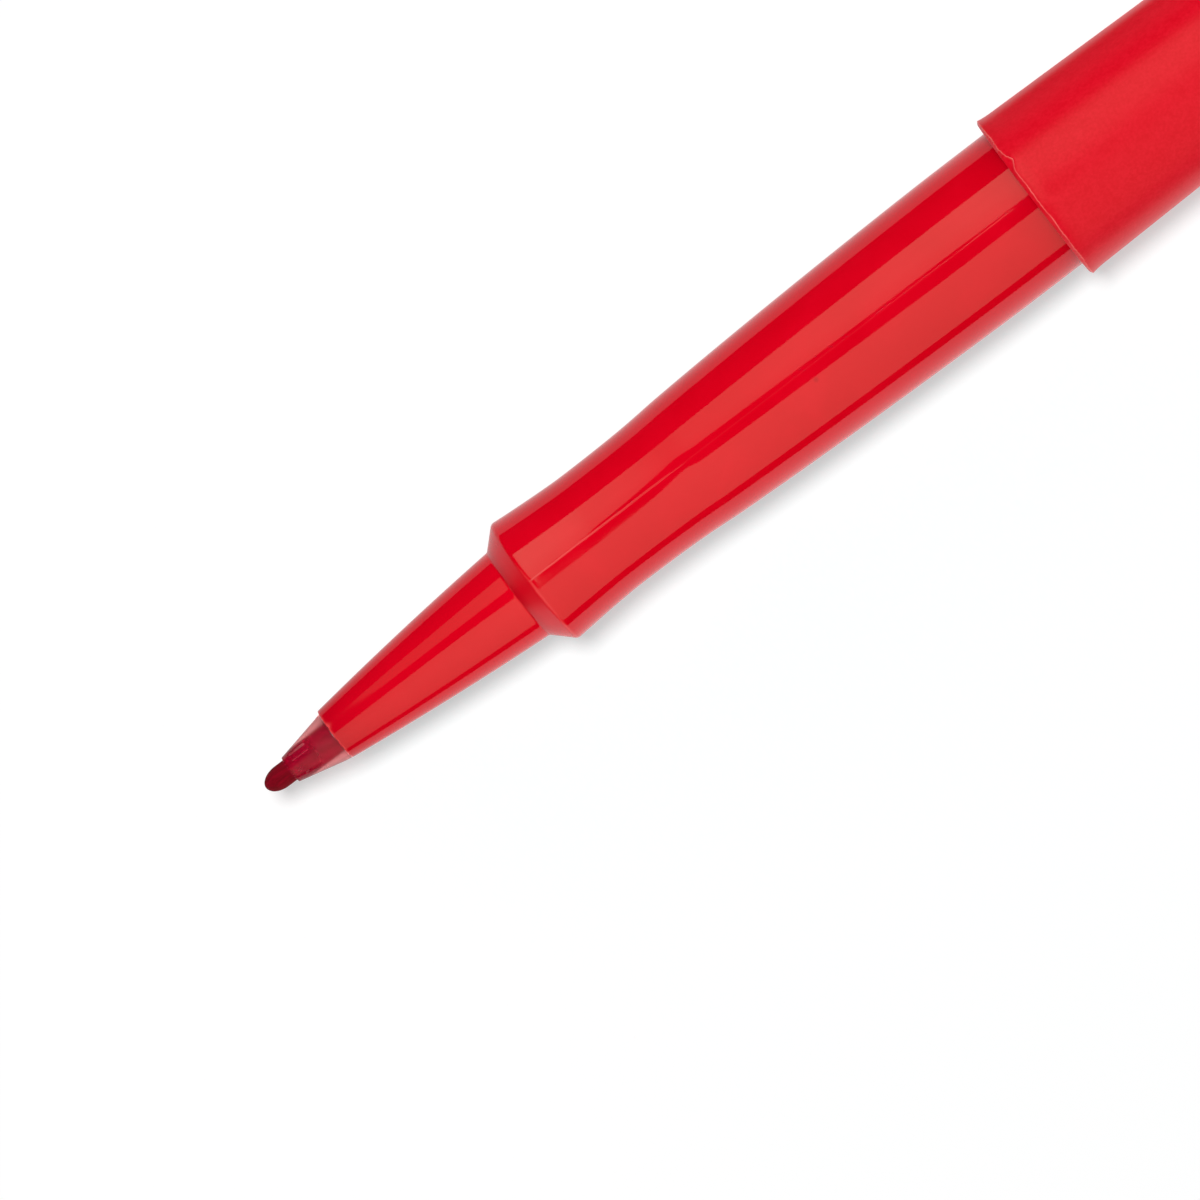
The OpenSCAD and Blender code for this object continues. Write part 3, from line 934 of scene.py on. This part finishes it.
def guard_material(handling):
    """Clear plastic tinted by ink, hazier at the back, with rougher grooves tinted paler as a painted
    highlight.

    Lamps pass through it to the nib, so it throws no black shade.
    """
    material, tree, output = new_material("clear_guard")
    smudge = put_group(tree, handling, "Smudge", Scale=500.0)
    streak = attribute(tree, "streak")
    plain = mix_colour(tree, smudge, srgb(228, 134, 134), srgb(220, 118, 122))
    along = axes_of(tree, object_place(tree))["X"]
    middle = (GUARD_HAZY - TOTAL_LEN / 2) * MM
    behind = ramp(tree, along, middle - 0.0006, middle + 0.0006, 0.14, 0.28)
    haze = maths(tree, "ADD", behind, scaled(tree, smudge, 0.0, 0.06))
    # The grooves' paler tint is a painted highlight; their extra roughness is their own.
    glass = add_node(
        tree,
        "ShaderNodeBsdfPrincipled",
        Base_Color=mix_colour(tree, streak, plain, srgb(238, 168, 170)),
        Roughness=maths(tree, "MAXIMUM", haze, scaled(tree, streak, 0.0, 0.85)),
        IOR=1.42,
        Specular_IOR_Level=0.4,
        Transmission_Weight=1.0,
    ).outputs["BSDF"]
    clear = add_node(tree, "ShaderNodeBsdfTransparent", Color=srgb(174, 150, 150)).outputs["BSDF"]
    shadow = add_node(tree, "ShaderNodeLightPath").outputs["Is Shadow Ray"]
    mix = add_node(tree, "ShaderNodeMixShader", _0=shadow, _1=glass, _2=clear)
    tree.links.new(mix.outputs["Shader"], output.inputs["Surface"])
    return material


def moulded_material(name, first, second, rough, grain, handling):
    """A plain moulded or drawn plastic with faint marks, for the parts inside."""
    material, tree, output = new_material(name)
    smudge = put_group(tree, handling, "Smudge", Scale=260.0)
    skin = put_group(tree, grain, "Height", Scale=6400.0, Coarse=0.5)
    cover(
        tree,
        output,
        Base_Color=mix_colour(tree, smudge, first, second),
        Roughness=scaled(tree, smudge, rough, rough + 0.12),
        IOR=1.5,
        Normal=bumped(tree, skin, 0.15, 0.00003),
    )
    return material


def dress_node(name, material):
    """Gives a CAD node that stays in the scene its finish."""
    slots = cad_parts[name].data.materials
    slots.clear()
    slots.append(material)


# The table: how much it scatters, and what it gives out of its own to the eye (plain, and cooled
# beside the marker), to reflections (everywhere, more close by, more on the near side) and to the
# marker (far side, near side, and the far side by the barrel); RED_REACH is in metres
FLOOR_ALBEDO = 0.5
FLOOR_GLOW = ((0.58, 0.58, 0.58, 1.0), (0.33, 0.582, 0.582, 1.0))
FLOOR_MIRRORED = (0.06, 0.16, 0.12)
MIRRORED_TINT = (1.6, 1.0, 1.0)
FLOOR_BOUNCE = ((0.54, 0.5, 0.5, 1.0), (1.7, 0.8, 0.8, 1.0))
BARREL_BOUNCE = (1.35, 0.5, 0.5, 1.0)
RED_REACH = 0.008

# Where the lights point along X, the panels' colour, and the key lamp
LIT_X = -0.045
PANEL_COLOUR = (1.0, 1.0, 0.76, 1.0)
KEY_LEVEL = 70.0
KEY_SIZE = 0.27
KEY_AWAY = 1.2
KEY_TURN = math.radians(8.25)


def stage_piece(name, corners, faces, material):
    """A plain part of the studio, which isn't part of the object."""
    mesh = bpy.data.meshes.new(name)
    mesh.from_pydata(corners, [], faces)
    mesh.materials.append(material)
    piece = bpy.data.objects.new(name, mesh)
    bpy.context.scene.collection.objects.link(piece)
    return piece


def make_floor():
    """The white table: it takes the key light's shadow, and is lifted to white where it is seen.

    The lift is cooler beside the marker, against the red that the marker throws there. Reflections
    see less of it, and less on the far side than on the near side. What the table gives back to
    the marker is warmed by the marker's own red, more on the near side.
    """
    material, tree, output = new_material("white_table")
    material.cycles.emission_sampling = "NONE"
    plain = add_node(tree, "ShaderNodeBsdfDiffuse", Color=(*[FLOOR_ALBEDO] * 3, 1.0))
    path = add_node(tree, "ShaderNodeLightPath").outputs
    axes = axes_of(tree, object_place(tree))
    along, across = axes["X"], axes["Y"]
    plain_lift, close_lift, near_lift = FLOOR_MIRRORED
    close = ramp(tree, across, 0.018, 0.008, plain_lift, plain_lift + close_lift)
    mirrored = maths(tree, "ADD", close, ramp(tree, across, -0.006, -0.013, 0.0, near_lift))
    far_bounce = mix_colour(tree, ramp(tree, along, -0.03, -0.016), FLOOR_BOUNCE[0], BARREL_BOUNCE)
    bounce = mix_colour(tree, ramp(tree, across, 0.004, -0.004), far_bounce, FLOOR_BOUNCE[1])
    in_gloss = maths(tree, "SUBTRACT", path["Is Glossy Ray"], path["Is Transmission Ray"], clamp=True)
    square = product(tree, across, across)
    beside = maths(tree, "DIVIDE", 1.0, maths(tree, "MULTIPLY_ADD", square, RED_REACH**-2, 1.0))
    cooled = product(
        tree,
        beside,
        ramp(tree, along, -0.0855, -0.082),
        ramp(tree, along, -0.0835, -0.0738, 0.35, 1.0),
        ramp(tree, along, -0.074, -0.05, 0.55, 1.0),
        ramp(tree, along, 0.004, -0.01),
        ramp(tree, across, 0.003, -0.003, 0.2, 1.0),
    )
    lift = mix_colour(tree, cooled, *FLOOR_GLOW)
    reddened = add_node(
        tree, "ShaderNodeVectorMath", {"operation": "SCALE"}, _0=MIRRORED_TINT, Scale=mirrored
    )
    seen = mix_colour(tree, in_gloss, lift, reddened.outputs["Vector"])
    given = mix_colour(tree, path["Is Diffuse Ray"], seen, bounce)
    glow = add_node(tree, "ShaderNodeEmission", Color=given, Strength=1.0)
    both = add_node(tree, "ShaderNodeAddShader", _0=plain.outputs[0], _1=glow.outputs[0])
    tree.links.new(both.outputs[0], output.inputs["Surface"])
    far = 4.0
    corners = [(-far, -far, 0), (far, -far, 0), (far, far, 0), (-far, far, 0)]
    return stage_piece("white_table", corners, [(0, 1, 2, 3)], material)


def hide_from(piece, *rays):
    """Takes something in the studio out of the sight of these kinds of rays."""
    for ray in rays:
        setattr(piece, "visible_" + ray, False)


def reflected_only(piece):
    """A black card that only reflections see."""
    hide_from(piece, "camera", "diffuse", "transmission", "volume_scatter", "shadow")


def make_cards():
    """Black cards that give the gloss its dark bands: one round an opening on the table, one as a dome."""
    material, tree, output = new_material("black_card")
    black = add_node(tree, "ShaderNodeBsdfDiffuse", Color=(0.0, 0.0, 0.0, 1.0)).outputs["BSDF"]
    clear = add_node(tree, "ShaderNodeBsdfTransparent").outputs["BSDF"]
    through = add_node(tree, "ShaderNodeLightPath").outputs["Is Transmission Ray"]
    either = add_node(tree, "ShaderNodeMixShader", _0=through, _1=black, _2=clear)
    tree.links.new(either.outputs["Shader"], output.inputs["Surface"])
    far = 2.5
    opening = [
        (-0.122, -0.022),
        (-0.112, -0.044),
        (-0.0225, -0.056),
        (-0.0215, -0.026),
        (0.3, -0.026),
        (0.3, 0.012),
        (-0.0215, 0.012),
        (-0.0225, 0.037),
        (-0.1, 0.027),
        (-0.165, 0.027),
    ]
    outside = [
        (x if -0.12 < x < 0.2 else math.copysign(far, x), math.copysign(far, y)) for x, y in opening
    ]
    corners = [(x, y, 0.0004) for x, y in opening + outside]
    count = len(opening)
    faces = [(k, (k + 1) % count, count + (k + 1) % count, count + k) for k in range(count)]
    reflected_only(stage_piece("table_card", corners, faces, material))
    lift = np.linspace(0.0, math.pi / 2, 13)[:, None]
    round_ = np.linspace(0.0, 2 * math.pi, 48, endpoint=False)[None, :]
    places = (np.cos(lift) * np.cos(round_), np.cos(lift) * np.sin(round_), np.sin(lift) + 0.0 * round_)
    grid = 2.4 * np.stack(places, axis=-1)
    index = np.arange(grid.shape[0] * grid.shape[1]).reshape(grid.shape[:2])
    here, above = index[:-1], index[1:]
    quads = np.stack([here, np.roll(here, -1, axis=1), np.roll(above, -1, axis=1), above], axis=-1)
    dome = stage_piece("dome_card", grid.reshape(-1, 3).tolist(), quads.reshape(-1, 4).tolist(), material)
    reflected_only(dome)


def turned_to(back, side):
    """The turn of a lamp or camera that looks away from back, with its own right towards side."""
    return Matrix((side, back.cross(side), back)).transposed().to_4x4()


def make_key():
    """A small round key lamp over the marker, a little towards +Y, that reflections don't see."""
    lamp = bpy.data.lights.new("key", "AREA")
    lamp.shape = "DISK"
    lamp.size = KEY_SIZE
    lamp.energy = math.pi * math.pi / 4 * KEY_SIZE**2 * KEY_LEVEL
    piece = bpy.data.objects.new("key", lamp)
    bpy.context.scene.collection.objects.link(piece)
    back = Vector((0.0, math.sin(KEY_TURN), math.cos(KEY_TURN)))
    place = Vector((LIT_X, 0.0, AXIS_HEIGHT * MM)) + KEY_AWAY * back
    piece.matrix_world = Matrix.Translation(place) @ turned_to(back, Vector((1.0, 0.0, 0.0)))
    hide_from(piece, "camera", "glossy")


def towards(turns, leans):
    """Unit directions from the marker: turn from the zenith towards +Y, leaned towards +X."""
    turn, lean = np.radians(turns), np.radians(leans)
    return np.stack([np.sin(lean), np.cos(lean) * np.sin(turn), np.cos(lean) * np.cos(turn)], axis=-1)


def panel(name, outline, fades, floor):
    """A flat glowing panel whose outline is given in directions (turn, lean), a metre away.

    Each fade is an axis, a span along it in metres and the two levels between which the
    brightness runs over that span; the fades multiply. The panel lights the marker and shows in
    its gloss, and leaves the table alone.
    """
    rays = towards(*np.array(outline, float).T)
    facing = rays.mean(axis=0)
    facing = facing / np.linalg.norm(facing)
    places = rays / (rays @ facing)[:, None] + np.array([LIT_X, 0.0, AXIS_HEIGHT * MM])
    material, tree, output = new_material(name)
    axes = axes_of(tree, object_place(tree))
    level = product(tree, *[ramp(tree, axes[axis], *span, *levels) for axis, span, levels in fades])
    glow = add_node(tree, "ShaderNodeEmission", Color=PANEL_COLOUR, Strength=level)
    tree.links.new(glow.outputs[0], output.inputs["Surface"])
    piece = stage_piece(name, places.tolist(), [tuple(range(len(places)))], material)
    hide_from(piece, "camera", "shadow")
    skipped = bpy.data.collections.new(name + "_skips")
    skipped.objects.link(floor)
    piece.light_linking.receiver_collection = skipped
    skipped.collection_objects[0].light_linking.link_state = "EXCLUDE"
    return piece


# Outlines of the panels: turn and lean of each corner, in degrees
LEFT_PANEL = (
    (-14.0, 18.0),
    (-13.8, 6.2),
    (-7.0, 5.4),
    (2.0, 4.6),
    (7.5, 3.2),
    (9.5, -1.8),
    (11.0, -4.5),
    (16.5, -9.0),
    (21.5, -13.5),
    (26.0, -16.8),
    (28.5, -18.0),
    (30.0, -18.4),
    (51.0, -18.4),
    (54.2, -18.0),
    (55.8, -17.0),
    (56.0, -14.0),
    (56.6, -9.0),
    (57.1, -2.0),
    (57.1, 18.0),
)
RIGHT_PANEL = (
    (-85.0, 8.0),
    (-85.5, -3.0),
    (-84.5, -9.0),
    (-83.0, -13.5),
    (-80.0, -17.0),
    (-77.0, -24.0),
    (-76.0, -36.0),
    (6.0, -36.0),
    (4.5, -22.0),
    (3.0, -17.5),
    (1.2, -15.0),
    (-4.5, -11.8),
    (-9.2, -9.0),
    (-13.2, -4.5),
    (-15.0, -2.5),
    (-14.0, 2.0),
    (-14.0, 8.0),
)
# Square panels towards the two ends: spans of turn and of lean
SIDE_PANELS = {
    "panel_tail_left": ((8.0, 52.0), (26.0, 62.0)),
    "panel_tail_right": ((-80.0, -16.0), (26.0, 62.0)),
    "panel_front_left": ((12.0, 50.0), (-48.0, -66.0)),
    "panel_front_right": ((-78.0, -16.0), (-48.0, -66.0)),
}


def light_scene(floor):
    """Soft panels for the gloss, those towards the ends seen in it alone, and a small key lamp."""
    left_fades = (("X", (-0.35, 0.33), (0.42, 2.5)), ("Y", (0.2, 0.52), (0.82, 1.0)))
    right_fades = (("Z", (0.2, 0.9), (0.76, 1.03)), ("X", (-0.8, -0.28), (0.2, 1.0)))
    panel("panel_left", LEFT_PANEL, left_fades, floor)
    panel("panel_right", RIGHT_PANEL, right_fades, floor)
    for name, ((low, high), (near, far)) in SIDE_PANELS.items():
        outline = ((low, near), (low, far), (high, far), (high, near))
        side = panel(name, outline, [("Z", (0.0, 0.8), (0.5, 1.0))], floor)
        hide_from(side, "diffuse", "transmission")
    make_key()


def make_world():
    """A white surround where it is seen, and no light from it on things."""
    world = bpy.data.worlds.new("studio")
    bpy.context.scene.world = world
    world.use_nodes = True
    tree = world.node_tree
    tree.nodes.clear()
    output = tree.nodes.new("ShaderNodeOutputWorld")
    path = add_node(tree, "ShaderNodeLightPath").outputs
    seen = maths(tree, "ADD", path["Is Camera Ray"], path["Is Glossy Ray"])
    every = maths(tree, "ADD", seen, path["Is Transmission Ray"], clamp=True)
    sky = add_node(tree, "ShaderNodeBackground", Color=(1.0, 1.0, 1.0, 1.0), Strength=every)
    tree.links.new(sky.outputs[0], output.inputs["Surface"])


def make_camera():
    """A long lens from above the barrel, turned so that the marker crosses the picture."""
    place = Vector((-3.8, 0.0, AXIS_HEIGHT + 900.0)) * MM
    aim = Vector((-60.77, -3.6, AXIS_HEIGHT)) * MM
    focal_px = 13713.0
    picture_px = 1200.0
    sensor_mm = 36.0
    up = Vector((0.60942, 0.79284, 0.0))
    back = (place - aim).normalized()
    side = up.cross(back).normalized()
    lens = bpy.data.cameras.new("camera")
    lens.sensor_fit = "HORIZONTAL"
    lens.sensor_width = sensor_mm
    lens.lens = sensor_mm * focal_px / picture_px
    lens.clip_start = 0.01
    lens.clip_end = 50.0
    camera = bpy.data.objects.new("camera", lens)
    camera.matrix_world = Matrix.Translation(place) @ turned_to(back, side)
    bpy.context.scene.collection.objects.link(camera)
    bpy.context.scene.camera = camera


def build():
    """Every material, piece, lamp and the camera."""
    grain = grain_group()
    handling = handling_group()
    gloss = gloss_material(grain, handling)
    matte = matte_material(grain, handling)
    nib_fibre = nib_material()
    ink_fibre = fibre_material("ink_fibre", srgb(176, 30, 46), srgb(132, 10, 24), 0.7, 0.05)
    clear = guard_material(handling)
    film = moulded_material("wrap_film", srgb(238, 230, 228), srgb(228, 218, 216), 0.25, grain, handling)
    white = moulded_material("liner_white", srgb(232, 226, 220), srgb(222, 214, 208), 0.35, grain, handling)
    make_front_section(gloss)
    make_barrel(matte)
    make_nib(nib_fibre)
    make_guard(clear)
    make_cap(matte)
    make_bracket(matte)
    make_clip(matte)
    make_tab(matte)
    dress_node("reservoir_core", ink_fibre)
    dress_node("reservoir_wrap", film)
    dress_node("cap_liner", white)
    make_camera()
    floor = make_floor()
    make_cards()
    light_scene(floor)
    make_world()
    bpy.context.scene.view_settings.view_transform = "Standard"


build()
